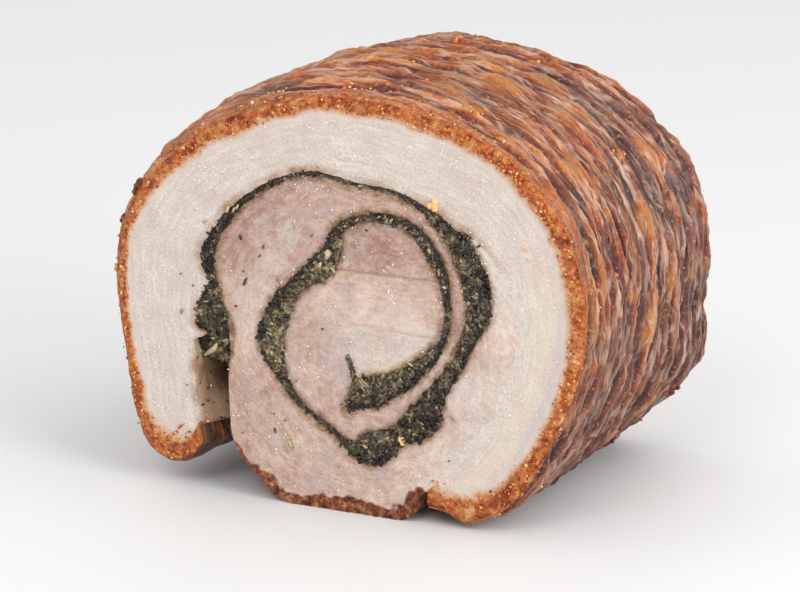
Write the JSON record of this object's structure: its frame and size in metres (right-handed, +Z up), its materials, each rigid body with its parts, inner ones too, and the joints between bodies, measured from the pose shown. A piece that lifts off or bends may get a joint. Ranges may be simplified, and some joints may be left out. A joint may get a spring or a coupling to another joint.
{
  "type": "porchetta",
  "caption": "Short length of rolled roast pork: ridged crackling over a fat cap, lean meat inside and a herb stuffing that winds through both cut ends. It stands on its flat underside.",
  "frame": {"origin": "on the table, under the middle of the roll's box", "axes": "+X across the roll, to the right when the pictured cut is faced; +Y along the roll, away from that cut; +Z up"},
  "size_m": [0.1838, 0.1208, 0.1528],
  "materials": {
    "rind": "crisp, glossy, ridged",
    "lean": "moist, cut across",
    "herbs": "matt, chopped"
  },
  "bodies": {
    "root": {"rind_and_fat": "rind", "lean_roll": "lean", "herb_stuffing": "herbs"}
  },
  "joints": []
}
